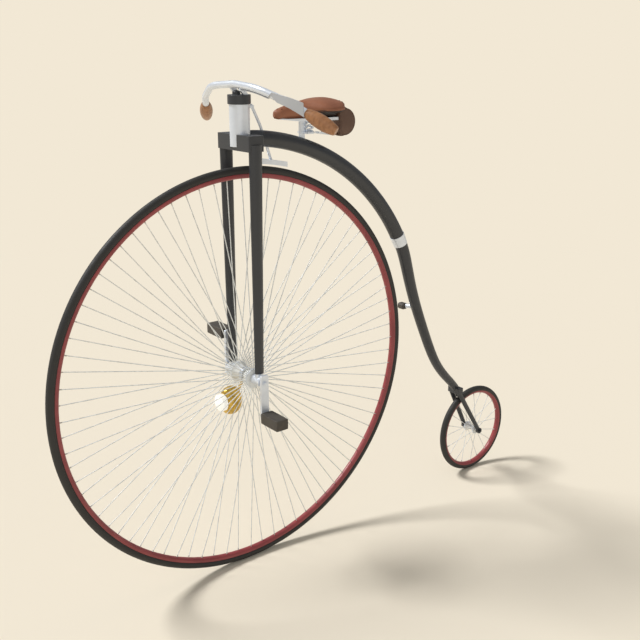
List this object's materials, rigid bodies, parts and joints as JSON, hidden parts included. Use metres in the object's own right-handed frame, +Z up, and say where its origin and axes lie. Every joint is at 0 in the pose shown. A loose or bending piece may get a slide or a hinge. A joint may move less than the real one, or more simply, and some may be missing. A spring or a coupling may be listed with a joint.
{
  "type": "penny farthing bicycle",
  "caption": "High wheel bicycle with a large wire-spoked front wheel turned by cranks, a small rear wheel, curved backbone, leather saddle, drooping handlebar and hub lamp.",
  "frame": {"origin": "top of the saddle, on the middle plane, where the rider sits", "axes": "+Z up, -Y forwards along the bicycle, +X to the bicycle's left"},
  "size_m": [0.687, 1.9223, 1.5675],
  "materials": {
    "dark_paint": "satin",
    "silver": "polished",
    "red_paint": "satin",
    "tyre_rubber": "matte",
    "pedal_rubber": "matte",
    "brown_leather": "satin",
    "dark_leather": "satin",
    "grip_wood": "satin",
    "lamp_brass": "polished",
    "lamp_glass": "clear"
  },
  "bodies": {
    "frame": {"head_tube": "silver", "upper_backbone": "dark_paint", "backbone_band": "silver", "lower_backbone": "dark_paint", "step_tread": "pedal_rubber", "step_bracket": "silver", "rear_crown": "dark_paint", "rear_blade_left": "dark_paint", "rear_blade_right": "dark_paint", "rear_axle": "silver", "brake_rod": "silver", "brake_spoon": "silver", "rod_guide": "silver", "saddle_post": "silver", "saddle_plate": "silver", "spring_bridge": "silver", "saddle_coil_left": "silver", "saddle_coil_right": "silver", "saddle_cover": "brown_leather", "tool_bag": "dark_leather"},
    "steering": {"fork_crown": "dark_paint", "fork_blade_left": "dark_paint", "fork_blade_right": "dark_paint", "axle_case_left": "silver", "axle_case_right": "silver", "steering_spindle": "silver", "head_cap": "dark_paint", "handlebar_bracket": "silver", "handlebar": "silver", "grip_left": "grip_wood", "grip_right": "grip_wood", "brake_lever": "silver"},
    "front_wheel": {"front_tyre": "tyre_rubber", "front_rim": "red_paint", "front_hub_and_spokes": "silver", "front_axle": "silver", "crank_left": "silver", "crank_right": "silver", "pedal_pin_left": "silver", "pedal_pin_right": "silver"},
    "pedal_left": {"pedal_left": "pedal_rubber"},
    "pedal_right": {"pedal_right": "pedal_rubber"},
    "rear_wheel": {"rear_tyre": "tyre_rubber", "rear_rim": "red_paint", "rear_hub_and_spokes": "silver"},
    "lamp": {"lamp_body": "lamp_brass", "lamp_lens": "lamp_glass", "lamp_hanger": "lamp_brass"}
  },
  "joints": [
    {"name": "steering", "type": "hinge", "parent": "frame", "child": "steering", "pos_m": [0, -0.318, -0.092], "axis": [0, 0, 1], "range_deg": [-35, 35]},
    {"name": "front_wheel_spin", "type": "hinge", "parent": "steering", "child": "front_wheel", "pos_m": [0, -0.318, -0.8466], "axis": [1, 0, 0], "continuous": true},
    {"name": "pedal_left_spin", "type": "hinge", "parent": "front_wheel", "child": "pedal_left", "pos_m": [0.1525, -0.318, -0.9576], "axis": [1, 0, 0], "continuous": true},
    {"name": "pedal_right_spin", "type": "hinge", "parent": "front_wheel", "child": "pedal_right", "pos_m": [-0.1525, -0.318, -0.7356], "axis": [1, 0, 0], "continuous": true},
    {"name": "rear_wheel_spin", "type": "hinge", "parent": "frame", "child": "rear_wheel", "pos_m": [0, 0.768, -1.33], "axis": [1, 0, 0], "continuous": true},
    {"name": "lamp_swing", "type": "hinge", "parent": "steering", "child": "lamp", "pos_m": [0, -0.318, -0.8466], "axis": [1, 0, 0], "continuous": true}
  ]
}
